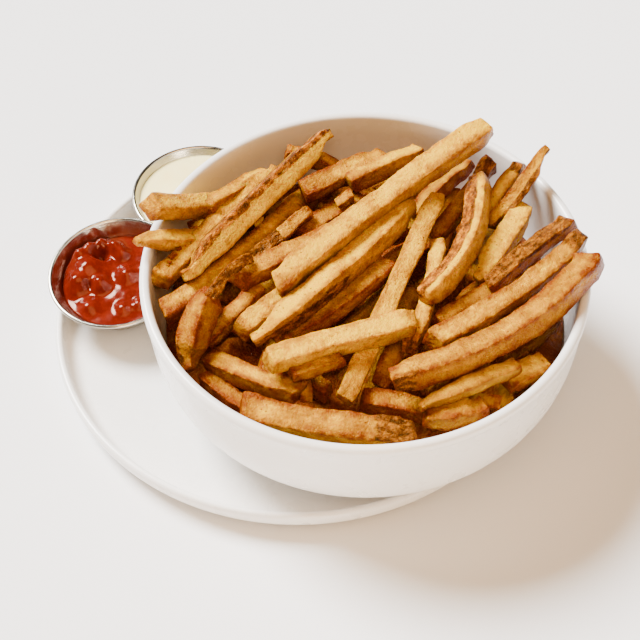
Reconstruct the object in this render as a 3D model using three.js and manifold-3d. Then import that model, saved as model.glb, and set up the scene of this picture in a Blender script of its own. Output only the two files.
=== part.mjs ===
// A bowl of hand-cut fries on its round plate, with two small steel cups of dip beside it.
// Millimetres, +Z up. The origin is on the table, straight under the middle of the bowl.
import * as THREE from 'three';
import { mergeVertices } from 'three/addons/utils/BufferGeometryUtils.js';
import Module from 'manifold-3d';

const wasm = await Module();
wasm.setup();

// ---------------------------------------------------------------- driving dimensions

const GAP = 0.3; // air left between pieces that rest on each other

const PLATE = { x: -29.6, y: 25.4, radius: 117.5, height: 15, floor: 5, lip: 3.5, foot: 96, fillet: 5.5 };

const BOWL = {
  radius: 99.4, // of the wall at the rim, under the bead
  rim: 75, // height of the rim above the table
  depth: 66, // of the wall, from the rim down to its underside
  flare: 0.05, // how much wider the wall gets for each millimetre up
  wall: 4, // thickness
  bead: 0.6, // how far the rolled rim stands out
  beadHeight: 5,
  foot: 49, // outer radius of the foot ring
  footWidth: 5,
};

const CUP = { rim: 33.2, base: 21.4, height: 21, wall: 0.8, roll: 1, corner: 3 };
const MAYO_CUP = { x: -80, y: 94.6 };
const KETCHUP_CUP = { x: -116.4, y: 43, lean: 5.5, leanX: -0.65, leanY: -0.76 };
const MAYO = { level: 17.2, crown: 0.5 }; // height in its cup, and how much its middle is domed
const KETCHUP = { level: 13.2, crown: 3.2 };

// The packed middle of the heap, which hugs the undersides of the fries that lie on it.
const CORE = {
  rings: [13, 26, 39, 52, 65, 77], // radii of the rings of corners of its top
  edge: 85, // where its height beside the wall is taken
  sectors: 28,
  reach: 12, // each corner looks this far round for fries
  under: 1, // and stays this much under the lowest middle line among them
  sunk: 13, // or, with none there, this much under the heap's level
  below: 5, // it is never closer to that level than this
  lowest: 41,
};
const HEAP = { top: 84, fall: 0.0022, dip: 0.0011 }; // the level that the fries reach

// The fries that lie on top: start, end, how far the middle bows from the straight line,
// width and height of the cut, and its turn in degrees. Each dives under those before it.
const FRIES = [
  [[-39, -14, 80], [59, 68, 94], [0, 2, 0], 11, 11, 8], // the long one across the top
  [[-80, -3, 74], [-14, 85, 74], [-2, -1, 0], 11, 11, 40],
  [[-91, 0, 68], [-40, 70, 68], [0, 0, 0], 9, 9, 10],
  [[-101, 9, 84], [-64, 33, 57], [-1, -1, 2], 8, 7, 0],
  [[-95, 26, 88], [-58, 56, 57], [3, 0, 0], 9, 9, 15],
  [[-71, 37, 74], [-44, 69, 64], [0, 0, 0], 8, 8, -10],
  [[-89, -17, 66], [-22, 65, 57], [-2, -9, 2], 9, 9, 5],
  [[-66, -16, 74], [-77, -43, 57], [-3, 1, 2], 12, 11, 30],
  [[-56, -3, 71], [-6, 31, 68], [0, 0, 0], 10, 9, 0],
  [[-55, -29, 67], [-15, 10, 67], [0, 0, 0], 9, 9, 12],
  [[-49, -41, 75], [22, 33, 80], [0, -4, 0], 11, 10, -12],
  [[-39, -32, 66], [11, 5, 72], [-2, -6, 0], 10, 9, 0],
  [[-42, -55, 78], [20, -34, 75], [1, 1, 1], 10, 10, 6],
  [[34, 39, 79], [-11, -66, 64], [0, -1, 0], 9, 9, -14],
  [[53, 47, 82], [25, -23, 80], [7, -4, -1], 10, 9, 24],
  [[33, 16, 72], [18, -45, 69], [2, -2, 3], 7, 7, 0],
  [[61, 61, 76], [31, 23, 66], [0, -1, -1], 8, 7, 0],
  [[51, 66, 72], [24, 39, 64], [-1, -1, 2], 7, 7, 20],
  [[73, 57, 80], [43, 19, 62], [-2, -1, -6], 7, 7, 0],
  [[85, 56, 90], [58, 29, 67], [0, -2, 0], 7, 7, -20],
  [[75, 36, 72], [49, -6, 71], [2, 3, 0], 10, 8, 0],
  [[92, 21, 79], [53, -13, 75], [2, 2, 0], 8, 7, 10],
  [[96, 8, 82], [27, -46, 77], [7, 1, -1], 9, 9, -8],
  [[98, -5, 83], [9, -64, 75], [10, -5, -2], 11, 11, 10],
  [[21, -74, 69], [64, -51, 68], [0, 0, 0], 7, 7, 0],
  [[59, -56, 62], [77, -45, 62], [0, 0, 0], 10, 9, 12],
  [[40, -60, 57], [56, -63, 56], [0, 0, 0], 7, 7, 30],
  [[23, -74, 63], [49, -68, 62], [-3, -2, 0], 10, 9, 0],
  [[-54, -71, 66], [19, -85, 66], [1, -3, 0], 12, 12, 14],
  [[-69, -35, 54], [-29, -62, 64], [0, -2, 1], 9, 9, 0],
  [[-29, -49, 68], [-27, -62, 59], [0, 0, 0], 6, 6, 0],
  [[-71, -41, 50], [-50, -62, 50], [0, 0, 0], 8, 8, 0],
  [[-3, -62, 60], [27, -68, 58], [0, 0, 0], 9, 8, 0],
  [[19, -23, 67], [5, -54, 57], [0, 0, 0], 9, 8, 0],
  [[-5, 54, 72], [29, 79, 67], [0, 0, 0], 8, 9, -10],
  [[-27, 50, 71], [12, 77, 67], [0, 0, 0], 10, 9, 12],
  [[-11, 45, 67], [-4, 49, 69], [0, 0, 0], 5, 5, 0],
  [[-53, 12, 65], [-24, 40, 68], [0, 0, 0], 6, 6, 20],
  [[-35, 80, 67], [-4, 70, 58], [1, 1, 2], 7, 7, 0],
  [[43, 57, 62], [35, 17, 61], [0, 0, 0], 9, 9, 0],
  [[31, -29, 70], [69, -1, 70], [0, 0, 0], 7, 7, 10],
  [[84, -18, 55], [53, -43, 60], [0, 0, 0], 9, 9, 0],
  [[-80, 39, 57], [-52, 49, 55], [0, 0, 0], 8, 8, 0],
  [[-29, 31, 62], [1, 55, 62], [0, 0, 0], 9, 8, 0],
  [[-33, -58, 73], [-11, -50, 74], [0, 0, 0], 7, 6, 0],
  [[-36, -42, 60], [-17, -56, 57], [0, 0, 0], 8, 8, 0],
  [[-71, -30, 61], [-46, -2, 63], [0, 0, 0], 8, 8, 0],
  [[49, -45, 70], [58, -14, 66], [0, 0, 0], 9, 9, 0],
].map(([start, end, bow, width, height, turn]) => ({ start, end, bow, width, height, turn }));

// ---------------------------------------------------------------- materials

const stoneware = new THREE.MeshStandardMaterial({ color: 0xe6e2dc, roughness: 0.35 });
const steel = new THREE.MeshStandardMaterial({ color: 0xb9b4aa, roughness: 0.28, metalness: 1 });
const friedPotato = new THREE.MeshStandardMaterial({ color: 0xe0a53c, roughness: 0.55 });
const ketchupRed = new THREE.MeshStandardMaterial({ color: 0x9c2c0e, roughness: 0.15 });
const mayoCream = new THREE.MeshStandardMaterial({ color: 0xf7f0dc, roughness: 0.3 });

// ---------------------------------------------------------------- turned pieces

const point = (radius, height) => new THREE.Vector2(radius, height);

// A profile of (radius, height) points turned round the Z axis.
function turned(profile, segments) {
  const geometry = new THREE.LatheGeometry(profile, segments);
  geometry.rotateX(Math.PI / 2);
  return geometry;
}

function plateProfile() {
  const { radius, height, floor, lip, foot, fillet } = PLATE;
  const inner = radius - lip;
  const profile = [point(0, 0), point(foot, 0), point(radius - 7, 1), point(radius - 1.8, 3.8)];
  profile.push(point(radius - 0.3, 7), point(radius, height - 2), point(radius - 1, height));
  profile.push(point(inner + 1, height), point(inner, height - 1.2));
  for (let step = 0; step <= 3; step++) {
    const angle = (step / 3) * (Math.PI / 2);
    const away = fillet * (1 - Math.cos(angle));
    profile.push(point(inner - away, floor + fillet * (1 - Math.sin(angle))));
  }
  profile.push(point(0, floor));
  return profile;
}

// The outside of the bowl's wall: a rounded corner between a nearly upright wall and a nearly
// flat bottom. step runs from 0 at the rim to 1 at the axis.
function wallPoint(step) {
  const angle = (Math.PI / 2) * step ** 1.6;
  const depth = BOWL.depth * Math.sin(angle) ** (2 / 4.5);
  const radius = BOWL.radius * Math.sqrt(Math.max(0, Math.cos(angle)));
  return point(Math.max(0, radius - BOWL.flare * depth), BOWL.rim - depth);
}

// A point set in from the outside of the wall by a distance, square to the wall.
function insetPoint(step, distance) {
  const before = wallPoint(Math.max(0, step - 0.01));
  const after = wallPoint(Math.min(1, step + 0.01));
  const along = after.clone().sub(before).normalize();
  const here = wallPoint(step);
  return point(Math.max(0, here.x + along.y * distance), here.y - along.x * distance);
}

const WALL_STEPS = [0.1, 0.2, 0.32, 0.43, 0.53, 0.63, 0.73, 0.84];

function bowlProfile() {
  const { rim, radius, bead, beadHeight, wall, foot, footWidth } = BOWL;
  const outer = radius + bead;
  const footBottom = PLATE.floor + GAP;
  const outside = WALL_STEPS.map((step) => wallPoint(step));
  const underside = outside[outside.length - 1].y;
  const profile = [point(0, rim - BOWL.depth), point(foot - footWidth, underside - 0.6)];
  profile.push(point(foot - footWidth + 0.6, footBottom), point(foot - 0.6, footBottom));
  profile.push(point(foot, underside - 0.4));
  profile.push(...outside.reverse());
  profile.push(point(radius - 0.2, rim - beadHeight), point(outer, rim - beadHeight + 1));
  profile.push(point(outer, rim - 1.6), point(outer - 1.4, rim), point(radius - wall + 1, rim));
  profile.push(point(radius - wall, rim - 1.4));
  profile.push(...WALL_STEPS.map((step) => insetPoint(step, wall)));
  profile.push(point(0, insetPoint(0.95, wall).y));
  return profile;
}

function cupProfile() {
  const { rim, base, height, wall, roll, corner } = CUP;
  const throat = rim - 2 * roll;
  const profile = [point(0, 0), point(base - corner, 0), point(base - 0.9, 0.9), point(base, corner)];
  profile.push(point(throat + wall, height - 2 * roll), point(rim - 0.4, height - 1.6 * roll));
  profile.push(point(rim, height - roll), point(rim - roll, height), point(throat, height - roll));
  profile.push(point(base - wall, corner), point(base - 0.9 - wall, 0.9 + wall / 2));
  profile.push(point(base - corner, wall), point(0, wall));
  return profile;
}

// The radius of the cup's inside at a height above its base.
function cupInside(height) {
  const { rim, base, wall, roll, corner } = CUP;
  const share = (height - corner) / (CUP.height - roll - corner);
  return THREE.MathUtils.lerp(base - wall, rim - 2 * roll, share);
}

// Dip fills a cup up to its level; its top is domed and ends a hair's breadth from the wall.
function dipProfile({ level, crown }) {
  const { base, corner, wall } = CUP;
  const bottom = wall + GAP;
  const edge = cupInside(level) - GAP;
  const profile = [point(0, bottom), point(base - corner - GAP, bottom)];
  profile.push(point(base - wall - GAP, corner + GAP), point(edge, level));
  for (const share of [0.85, 0.6, 0.3]) {
    profile.push(point(edge * share, level + crown * (1 - share ** 2)));
  }
  profile.push(point(0, level + crown));
  return profile;
}

// ---------------------------------------------------------------- the heap of fries

// A closed surface through rings that hold equally many corners, with a flat fan at each end.
function closedStack(rings) {
  const positions = rings.flat().flatMap(({ x, y, z }) => [x, y, z]);
  const sides = rings[0].length;
  const last = (rings.length - 1) * sides;
  const faces = [];
  for (let start = 0; start < last; start += sides) {
    for (let side = 0; side < sides; side++) {
      const here = start + side;
      const next = start + ((side + 1) % sides);
      faces.push(here, here + sides, next, next, here + sides, next + sides);
    }
  }
  for (let side = 1; side < sides - 1; side++) {
    faces.push(0, side, side + 1, last, last + side + 1, last + side);
  }
  const geometry = new THREE.BufferGeometry();
  geometry.setAttribute('position', new THREE.Float32BufferAttribute(positions, 3));
  geometry.setIndex(faces);
  return geometry;
}

// The middle line of a fry: a bow through its start, its bowed middle and its end.
function middleLine(fry, count) {
  const start = new THREE.Vector3(...fry.start);
  const end = new THREE.Vector3(...fry.end);
  const control = start.clone().add(end).multiplyScalar(0.5);
  control.addScaledVector(new THREE.Vector3(...fry.bow), 2);
  return new THREE.QuadraticBezierCurve3(start, control, end).getPoints(count - 1);
}

// One fry: an eight-sided bar with chamfered edges that narrows at both ends.
function fryGeometry(fry) {
  const span = new THREE.Vector3(...fry.end).distanceTo(new THREE.Vector3(...fry.start));
  const stations = span > 55 ? 6 : 5;
  const line = middleLine(fry, stations);
  const corner = 0.62; // how much of each side stays flat
  const outline = [[1, -corner], [1, corner], [corner, 1], [-corner, 1]];
  outline.push([-1, corner], [-1, -corner], [-corner, -1], [corner, -1]);
  const turn = THREE.MathUtils.degToRad(fry.turn);
  const rings = line.map((centre, index) => {
    const before = line[Math.max(0, index - 1)];
    const after = line[Math.min(stations - 1, index + 1)];
    const along = after.clone().sub(before).normalize();
    const across = along.clone().cross(new THREE.Vector3(0, 0, 1)).normalize();
    const upwards = across.clone().cross(along);
    const right = across.multiplyScalar(Math.cos(turn)).addScaledVector(upwards, Math.sin(turn));
    const up = right.clone().cross(along);
    const end = index === 0 || index === stations - 1;
    const size = end ? 0.74 : 1 + 0.05 * Math.sin(index * 2.4 + span);
    return outline.map(([u, v]) => {
      const at = centre.clone().addScaledVector(right, (u * size * fry.width) / 2);
      return at.addScaledVector(up, (v * size * fry.height) / 2);
    });
  });
  return closedStack(rings);
}

// The level of the heap, lower towards the back left where the wall shows.
function heapLevel(x, y) {
  const back = Math.max(0, 0.866 * y - 0.5 * x);
  return HEAP.top - HEAP.fall * (x * x + y * y) - HEAP.dip * back * back;
}

// The inner radius of the bowl at a height above the table.
function bowlInside(height) {
  const depth = Math.min(BOWL.rim - height, BOWL.depth - 1);
  const radius = BOWL.radius * (1 - (Math.max(0, depth) / BOWL.depth) ** 4.5) ** 0.25;
  return radius - BOWL.flare * depth - BOWL.wall;
}

// The height of the packed middle at a place.
function coreTop(x, y) {
  let height = Infinity;
  for (const fry of FRIES) {
    for (const at of middleLine(fry, 13)) {
      if (Math.hypot(at.x - x, at.y - y) < CORE.reach) height = Math.min(height, at.z - CORE.under);
    }
  }
  const level = heapLevel(x, y);
  if (height === Infinity) height = level - CORE.sunk;
  return THREE.MathUtils.clamp(height, CORE.lowest, level - CORE.below);
}

// The packed middle fills the bowl from its floor up to the fries that lie on it.
function coreGeometry() {
  const inset = BOWL.wall + GAP + 0.4;
  const ringOf = (corner) => {
    return Array.from({ length: CORE.sectors }, (_, sector) => {
      const angle = (sector / CORE.sectors) * 2 * Math.PI;
      const { radius, height } = corner(Math.cos(angle), Math.sin(angle));
      return new THREE.Vector3(radius * Math.cos(angle), radius * Math.sin(angle), height);
    });
  };
  const top = CORE.rings.map((radius) => {
    return ringOf((cos, sin) => ({ radius, height: coreTop(radius * cos, radius * sin) }));
  });
  const edge = ringOf((cos, sin) => {
    const height = coreTop(CORE.edge * cos, CORE.edge * sin);
    return { radius: bowlInside(height) - inset + BOWL.wall, height };
  });
  const side = WALL_STEPS.slice(2).map((step) => {
    const { x, y } = insetPoint(step, inset);
    return ringOf(() => ({ radius: x, height: y }));
  });
  return closedStack([...top, edge, ...side]);
}

function toManifold(geometry) {
  const bare = geometry.clone();
  bare.deleteAttribute('normal');
  bare.deleteAttribute('uv');
  const merged = mergeVertices(bare, 1e-4);
  const vertProperties = new Float32Array(merged.attributes.position.array);
  const corners = merged.index.array;
  const kept = [];
  for (let i = 0; i < corners.length; i += 3) {
    const [a, b, c] = [corners[i], corners[i + 1], corners[i + 2]];
    if (a !== b && b !== c && c !== a) kept.push(a, b, c);
  }
  return new wasm.Manifold(new wasm.Mesh({ numProp: 3, vertProperties, triVerts: new Uint32Array(kept) }));
}

// The largest closed body of a solid as a geometry: hollows sealed inside it and loose scraps go.
function toGeometry(solid) {
  const bodies = solid.decompose().sort((a, b) => b.volume() - a.volume());
  const mesh = bodies[0].getMesh();
  const geometry = new THREE.BufferGeometry();
  geometry.setAttribute('position', new THREE.BufferAttribute(Float32Array.from(mesh.vertProperties), 3));
  geometry.setIndex(new THREE.BufferAttribute(Uint32Array.from(mesh.triVerts), 1));
  geometry.computeVertexNormals();
  return geometry;
}

function heapGeometry() {
  let heap = toManifold(coreGeometry());
  for (const fry of FRIES) {
    heap = heap.add(toManifold(fryGeometry(fry)));
  }
  return toGeometry(heap);
}

// ---------------------------------------------------------------- the serving

function piece(name, geometry, material) {
  const mesh = new THREE.Mesh(geometry, material);
  mesh.name = name;
  return mesh;
}

function sauceCup(name, dipName, dip, dipMaterial) {
  const cup = new THREE.Group();
  cup.add(piece(name, turned(cupProfile(), 32), steel));
  cup.add(piece(dipName, turned(dipProfile(dip), 32), dipMaterial));
  return cup;
}

const serving = new THREE.Group();

const plate = piece('plate', turned(plateProfile(), 56), stoneware);
plate.position.set(PLATE.x, PLATE.y, 0);
serving.add(plate);

serving.add(piece('bowl', turned(bowlProfile(), 56), stoneware));
serving.add(piece('fries', heapGeometry(), friedPotato));

const mayoCup = sauceCup('mayo_cup', 'mayo', MAYO, mayoCream);
mayoCup.position.set(MAYO_CUP.x, MAYO_CUP.y, PLATE.floor + GAP);
serving.add(mayoCup);

// The ketchup cup leans: it stands on one edge of its base and is propped on the other cup's rim.
const ketchupCup = sauceCup('ketchup_cup', 'ketchup', KETCHUP, ketchupRed);
const lean = THREE.MathUtils.degToRad(KETCHUP_CUP.lean);
const hinge = new THREE.Vector3(-KETCHUP_CUP.leanY, KETCHUP_CUP.leanX, 0).normalize();
ketchupCup.quaternion.setFromAxisAngle(hinge, lean);
const lift = (CUP.base - CUP.corner) * Math.sin(lean);
ketchupCup.position.set(KETCHUP_CUP.x, KETCHUP_CUP.y, PLATE.floor + GAP + lift);
serving.add(ketchupCup);

export default serving;
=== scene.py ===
"""A bowl of hand-cut fries on its plate, with two steel cups of dip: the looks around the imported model.

The fries, their cages and the heap are given in millimetres, and MM turns them into metres. All else is
metres.
"""

import math
from typing import NamedTuple

import bmesh
import bpy
import numpy as np
from mathutils import Matrix, Quaternion, Vector


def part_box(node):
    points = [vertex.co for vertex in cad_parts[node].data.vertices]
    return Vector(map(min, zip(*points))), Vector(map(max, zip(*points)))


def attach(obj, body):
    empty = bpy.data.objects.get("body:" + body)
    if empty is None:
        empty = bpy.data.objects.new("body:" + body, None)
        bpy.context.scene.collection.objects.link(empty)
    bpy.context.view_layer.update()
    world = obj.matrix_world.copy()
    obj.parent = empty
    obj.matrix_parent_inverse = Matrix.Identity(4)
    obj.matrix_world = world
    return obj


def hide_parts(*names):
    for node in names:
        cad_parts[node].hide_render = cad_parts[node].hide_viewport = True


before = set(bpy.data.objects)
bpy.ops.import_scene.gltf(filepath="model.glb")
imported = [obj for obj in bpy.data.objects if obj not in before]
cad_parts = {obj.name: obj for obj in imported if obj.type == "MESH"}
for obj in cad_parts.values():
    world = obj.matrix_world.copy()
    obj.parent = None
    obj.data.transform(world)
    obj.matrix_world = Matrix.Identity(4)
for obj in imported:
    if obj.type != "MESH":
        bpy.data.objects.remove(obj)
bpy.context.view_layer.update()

bl_info = {
    "name": "Fries Serving",
    "version": (1, 0, 0),
    "blender": (4, 5, 0),
    "location": "View3D > Sidebar > Serving",
    "description": "Makes a bowl of fries on a plate with two cups of dip, and a plain studio round it",
    "category": "Add Mesh",
}

MM = 0.001


def centre_and_radius(node):
    """The middle and the outer radius of a round CAD node."""
    low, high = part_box(node)
    return (low + high) / 2, (high.x - low.x) / 2


PLATE_MIDDLE, PLATE_RADIUS = centre_and_radius("plate")
BOWL_RADIUS = centre_and_radius("bowl")[1]
MAYO_CUP_MIDDLE, CUP_RADIUS = centre_and_radius("mayo_cup")
PLATE_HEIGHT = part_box("plate")[1].z
BOWL_RIM_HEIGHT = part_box("bowl")[1].z
BOWL_FOOT_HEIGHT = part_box("bowl")[0].z
CUP_FOOT_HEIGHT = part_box("mayo_cup")[0].z
CUP_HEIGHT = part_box("mayo_cup")[1].z - CUP_FOOT_HEIGHT

# The ketchup cup leans against the other cup's rim: the middle of its foot, and which way it tips.
KETCHUP_CUP_FOOT = Vector((-0.1164, 0.043, 0.00706))
KETCHUP_CUP_LEAN = math.radians(5.5)
KETCHUP_CUP_HINGE = Vector((0.76, -0.65, 0)).normalized()


# ---------------------------------------------------------------- what a user may change


def length(name, description, default, high=1.0):
    """A length setting in metres."""
    return bpy.props.FloatProperty(
        name=name, description=description, default=default, min=0, max=high, unit="LENGTH", precision=4
    )


def colour(name, description, default):
    """A colour setting, given as linear red, green and blue."""
    return bpy.props.FloatVectorProperty(
        name=name, description=description, default=default, size=3, subtype="COLOR", min=0, max=1
    )


def angle(name, description, degrees):
    """An angle setting, given in degrees."""
    return bpy.props.FloatProperty(
        name=name, description=description, default=math.radians(degrees), subtype="ANGLE"
    )


def power(name, description, watts):
    """A setting for the power of a light."""
    return bpy.props.FloatProperty(name=name, description=description, default=watts, unit="POWER")


def strength(name, description, default):
    """A setting for the strength of a light that has no power in watts."""
    return bpy.props.FloatProperty(name=name, description=description, default=default)


class ServingSizes(bpy.types.PropertyGroup):
    """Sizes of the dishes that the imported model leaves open."""

    bowl_wall: length("Bowl wall", "Thickness of the bowl's wall", 0.004)
    bowl_bead: length("Bowl bead", "How far the rolled rim of the bowl stands out", 0.0006)
    bowl_bead_height: length("Bowl bead height", "Height of the rolled rim of the bowl", 0.005)
    plate_lip: length("Plate lip", "Thickness of the plate's upright rim", 0.0035)
    plate_floor: length("Plate floor", "Thickness of the plate's floor", 0.005)
    cup_wall: length("Cup wall", "Thickness of a dip cup's steel", 0.0008)
    fry_relief: length("Fry relief", "Depth of the uneven cut of a fry", 0.0014)
    crust_relief: length("Crust relief", "Depth of the blisters in a fry's crust", 0.0012)


class ServingColours(bpy.types.PropertyGroup):
    """Colours of the food and the dishes."""

    glaze: colour("Glaze", "White glaze of the bowl and the plate", (0.85, 0.835, 0.81))
    steel: colour("Steel", "Polished steel of the dip cups", (0.46, 0.42, 0.35))
    pale: colour("Pale fry", "Pale cut face of a fry", (0.72, 0.405, 0.001))
    yellow: colour("Yellow fry", "Yellow-golden face of a fry", (0.49, 0.216, 0.0004))
    golden: colour("Golden fry", "Golden face of a fry", (0.32, 0.13, 0.0003))
    # the undersides get this colour partly as painted shade
    browned: colour("Browned fry", "Orange edges and undersides", (0.23, 0.066, 0.0003))
    # on the packed core this deep brown is painted shade in the deep gaps
    dark: colour("Dark crust", "Deep brown of burnt edges and packed fries", (0.145, 0.023, 0.0004))
    skin: colour("Potato skin", "Brown skin left on the cut fries", (0.125, 0.031, 0.0015))
    ketchup: colour("Ketchup", "Red of the ketchup", (0.085, 0.0048, 0.0015))
    mayonnaise: colour("Mayonnaise", "Cream of the mayonnaise", (0.97, 0.82, 0.38))
    floor: colour("Floor", "Pale floor under the serving", (0.86, 0.86, 0.865))


class StudioSettings(bpy.types.PropertyGroup):
    """Camera and lights."""

    lens: bpy.props.FloatProperty(name="Lens", description="Focal length", default=95, unit="CAMERA")
    pitch: angle("Pitch", "How far the camera looks down", 50.525)
    roll: angle("Roll", "How far the camera is rolled", -1.115)
    distance: length("Distance", "From the camera to the point it looks at", 0.8262, high=10)
    target: bpy.props.FloatVectorProperty(
        name="Target",
        description="The point the camera looks at",
        default=(-0.02028, 0.03141, 0),
        unit="LENGTH",
    )
    key_strength: strength("Key light", "Strength of the key light", 15.2)
    key_softness: angle("Key softness", "How wide the key light looks", 26)
    key_heading: angle("Key heading", "Where the key light stands, round from +X", 142)
    key_rise: angle("Key rise", "How high the key light stands", 48)
    fill_power: power("Fill light", "Power of the fill light", 19)
    lift_power: power("Lift light", "Power of the light that lifts the gaps", 18)
    sky: strength("Sky", "Strength of the even light all round", 0.1)


# ---------------------------------------------------------------- helpers for modelling


# What a transform operator is told, for what lies round the selection to follow it softly.
SOFT = {"use_proportional_edit": True, "proportional_edit_falloff": "SMOOTH"}


def deselect_all():
    if bpy.context.object and bpy.context.object.mode != "OBJECT":
        bpy.ops.object.mode_set(mode="OBJECT")
    bpy.ops.object.select_all(action="DESELECT")


def select_only(piece):
    deselect_all()
    piece.select_set(True)
    bpy.context.view_layer.objects.active = piece


def apply_modifier(piece, kind, **settings):
    """Adds a modifier to a piece with these settings, and applies it."""
    select_only(piece)
    modifier = piece.modifiers.new(kind.title(), kind)
    for name, value in settings.items():
        setattr(modifier, name, value)
    bpy.ops.object.modifier_apply(modifier=modifier.name)


def apply_place(piece):
    """Moves a piece's place, turn and size into its mesh."""
    select_only(piece)
    bpy.ops.object.transform_apply(location=True, rotation=True, scale=True)


def spun(name, profile, steps):
    """A closed piece: a profile of (radius, height) points, spun round the upright axis."""
    deselect_all()
    bpy.ops.mesh.primitive_plane_add(size=MM, location=(0, 0, 0))
    piece = bpy.context.object
    piece.name = name
    bpy.ops.object.mode_set(mode="EDIT")
    bpy.ops.mesh.select_all(action="SELECT")
    bpy.ops.mesh.merge(type="CENTER")
    bpy.ops.transform.translate(value=(profile[0][0], 0, profile[0][1]))
    for (radius, height), (next_radius, next_height) in zip(profile, profile[1:]):
        step = (next_radius - radius, 0, next_height - height)
        bpy.ops.mesh.extrude_region_move(TRANSFORM_OT_translate={"value": step})
    bpy.ops.mesh.select_all(action="SELECT")
    bpy.ops.mesh.spin(steps=steps, angle=math.tau, center=(0, 0, 0), axis=(0, 0, 1))
    bpy.ops.mesh.select_all(action="SELECT")
    bpy.ops.mesh.remove_doubles(threshold=MM / 200)
    bpy.ops.mesh.normals_make_consistent(inside=False)
    bpy.ops.object.mode_set(mode="OBJECT")
    bpy.ops.object.shade_smooth()
    return piece


def arc(middle, radius, start, end, count):
    """Points of an arc round a middle, from a start angle to an end angle in degrees."""
    angles = np.radians(np.linspace(start, end, count))
    return [(middle[0] + radius * math.cos(a), middle[1] + radius * math.sin(a)) for a in angles]


def dress(piece, material, slot, *nodes):
    """Gives a piece its material, hides the CAD nodes that it stands for, and gives it its body. The slot is
    not used.
    """
    piece.data.materials.clear()
    piece.data.materials.append(material)
    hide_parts(*nodes)
    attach(piece, "root")


# ---------------------------------------------------------------- helpers for materials


class Shader:
    """A node material that is built up by short calls."""

    def __init__(self, name):
        self.material = bpy.data.materials.new(name)
        self.material.use_nodes = True
        self.tree = self.material.node_tree
        self.surface = self.tree.nodes["Principled BSDF"]

    def add(self, kind, inputs=None, **settings):
        node = self.tree.nodes.new(kind)
        for name, value in settings.items():
            setattr(node, name, value)
        for socket, value in (inputs or {}).items():
            self.put(node.inputs[socket], value)
        return node

    def put(self, socket, value):
        """Links a socket to another one, or sets a plain value or an opaque colour straight on it."""
        if isinstance(value, bpy.types.NodeSocket):
            self.tree.links.new(value, socket)
        elif socket.type == "RGBA":
            socket.default_value = (*value, 1.0)
        else:
            socket.default_value = value

    def set(self, **inputs):
        for name, value in inputs.items():
            self.put(self.surface.inputs[name.replace("_", " ")], value)

    def attribute(self, name):
        return self.add("ShaderNodeAttribute", attribute_name=name)

    def object_place(self):
        return self.add("ShaderNodeTexCoord").outputs["Object"]

    def stretched(self, vector, scale):
        return self.add("ShaderNodeMapping", {"Vector": vector, "Scale": scale}).outputs["Vector"]

    def noise(self, vector, scale, detail=3.0, roughness=0.55):
        inputs = {"Vector": vector, "Scale": scale, "Detail": detail, "Roughness": roughness}
        return self.add("ShaderNodeTexNoise", inputs).outputs["Fac"]

    def spots(self, vector, scale):
        return self.add("ShaderNodeTexVoronoi", {"Vector": vector, "Scale": scale}).outputs["Distance"]

    def remap(self, value, low, high, to_low=0.0, to_high=1.0):
        inputs = {"Value": value, "From Min": low, "From Max": high, "To Min": to_low, "To Max": to_high}
        return self.add("ShaderNodeMapRange", inputs).outputs["Result"]

    def math(self, operation, first, second):
        return self.add("ShaderNodeMath", {0: first, 1: second}, operation=operation).outputs["Value"]

    def mix(self, share, first, second, blend="MIX"):
        inputs = {"Factor": share, "A": first, "B": second}
        return self.add("ShaderNodeMix", inputs, data_type="RGBA", blend_type=blend).outputs["Result"]

    def ramp(self, value, stops):
        node = self.add("ShaderNodeValToRGB", {"Fac": value})
        elements = node.color_ramp.elements
        while len(elements) < len(stops):
            elements.new(0.5)
        for element, (position, rgb) in zip(elements, stops):
            element.position = position
            element.color = (*rgb, 1.0)
        return node.outputs["Color"]

    def bump(self, height, strength, distance):
        inputs = {"Height": height, "Strength": strength, "Distance": distance}
        return self.add("ShaderNodeBump", inputs).outputs["Normal"]


def tinted(rgb, *factors):
    """A colour with its red, green and blue times these factors."""
    return tuple(channel * factor for channel, factor in zip(rgb, factors))


# ---------------------------------------------------------------- materials


def glaze_material(name, rgb):
    """White glaze with a soft gloss and a barely uneven surface."""
    shader = Shader(name)
    place = shader.object_place()
    cloud = shader.noise(place, 22)
    warm = shader.mix(shader.remap(cloud, 0.3, 0.7), rgb, tinted(rgb, 0.99, 0.975, 0.95))
    shader.set(Base_Color=warm, Roughness=shader.remap(shader.noise(place, 60), 0.3, 0.7, 0.24, 0.34))
    shader.set(Normal=shader.bump(shader.noise(place, 160, detail=2), 0.08, 0.0004))
    shader.set(Coat_Weight=0.15, Coat_Roughness=0.12)
    return shader.material


def steel_material(rgb):
    """Polished steel with the fine rings that spinning leaves, and an uneven gloss."""
    shader = Shader("spun_steel")
    place = shader.object_place()
    rings = shader.noise(shader.stretched(place, (1, 1, 40)), 70, detail=4)
    worn = shader.noise(place, 300, detail=2)
    shader.set(Base_Color=shader.mix(rings, tinted(rgb, 0.86, 0.86, 0.86), rgb))
    shader.set(Roughness=shader.remap(worn, 0.3, 0.7, 0.14, 0.26))
    shader.set(Normal=shader.bump(rings, 0.12, 0.0002))
    shader.set(Metallic=1.0)
    return shader.material


def mayonnaise_material(rgb):
    """Thick cream sauce with soft gloss and faint deeper streaks."""
    shader = Shader("mayonnaise_cream")
    place = shader.object_place()
    streaks = shader.noise(shader.stretched(place, (1, 0.5, 1)), 90)
    deeper = tinted(rgb, 0.97, 0.92, 0.74)
    shader.set(Base_Color=shader.mix(shader.remap(streaks, 0.45, 0.75), rgb, deeper))
    shader.set(Roughness=shader.remap(streaks, 0.3, 0.7, 0.25, 0.4))
    shader.set(Normal=shader.bump(shader.noise(place, 130), 0.25, 0.0006))
    shader.set(Subsurface_Weight=0.3, Subsurface_Radius=(0.004, 0.003, 0.002), Subsurface_Scale=1.0)
    return shader.material


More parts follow.
